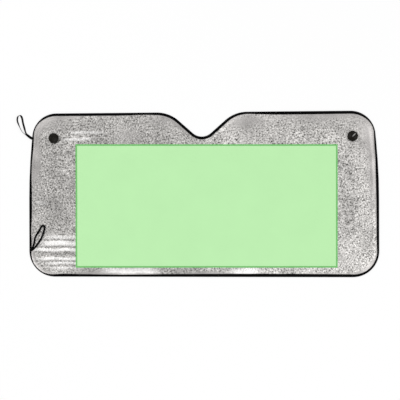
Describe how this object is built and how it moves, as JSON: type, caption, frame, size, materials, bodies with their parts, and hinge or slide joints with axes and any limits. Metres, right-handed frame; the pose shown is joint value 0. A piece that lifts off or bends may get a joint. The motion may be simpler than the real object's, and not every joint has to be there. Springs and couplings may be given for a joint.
{
  "type": "car windscreen sunshade",
  "caption": "Foil-faced bubble sheet with a bound edge and a mirror notch, held inside a windscreen by suction cups and kept rolled by elastic loops.",
  "frame": {"origin": "on the floor under the middle of the shade's width and height, measured over the binding", "axes": "+X along the width, +Y towards the top edge with its mirror notch, +Z out of the face that carries the cups"},
  "size_m": [1.3456, 0.61, 0.0166],
  "materials": {
    "silver_foil": "metallised film over small bubbles, crinkled, half bright",
    "black_binding": "woven binding tape, matt black",
    "black_thread": "twisted sewing thread, black",
    "pale_green_print": "flat pale green film",
    "green_print": "flat green line",
    "black_pvc": "soft moulded plastic, glossy black",
    "black_elastic": "flat braided elastic, matt black"
  },
  "bodies": {
    "shade": {"foil_panel": "silver_foil", "edge_binding": "black_binding", "seam_thread": "black_thread", "print_field": "pale_green_print", "print_border": "green_print", "elastic_loop_upper": "black_elastic", "elastic_loop_lower": "black_elastic"},
    "left_cup": {"suction_cup_left": "black_pvc"},
    "right_cup": {"suction_cup_right": "black_pvc"}
  },
  "joints": [
    {"name": "left_cup_spin", "type": "hinge", "parent": "shade", "child": "left_cup", "pos_m": [-0.5545, 0.212, 0], "axis": [0, 0, 1], "continuous": true},
    {"name": "right_cup_spin", "type": "hinge", "parent": "shade", "child": "right_cup", "pos_m": [0.5545, 0.212, 0], "axis": [0, 0, 1], "continuous": true}
  ]
}
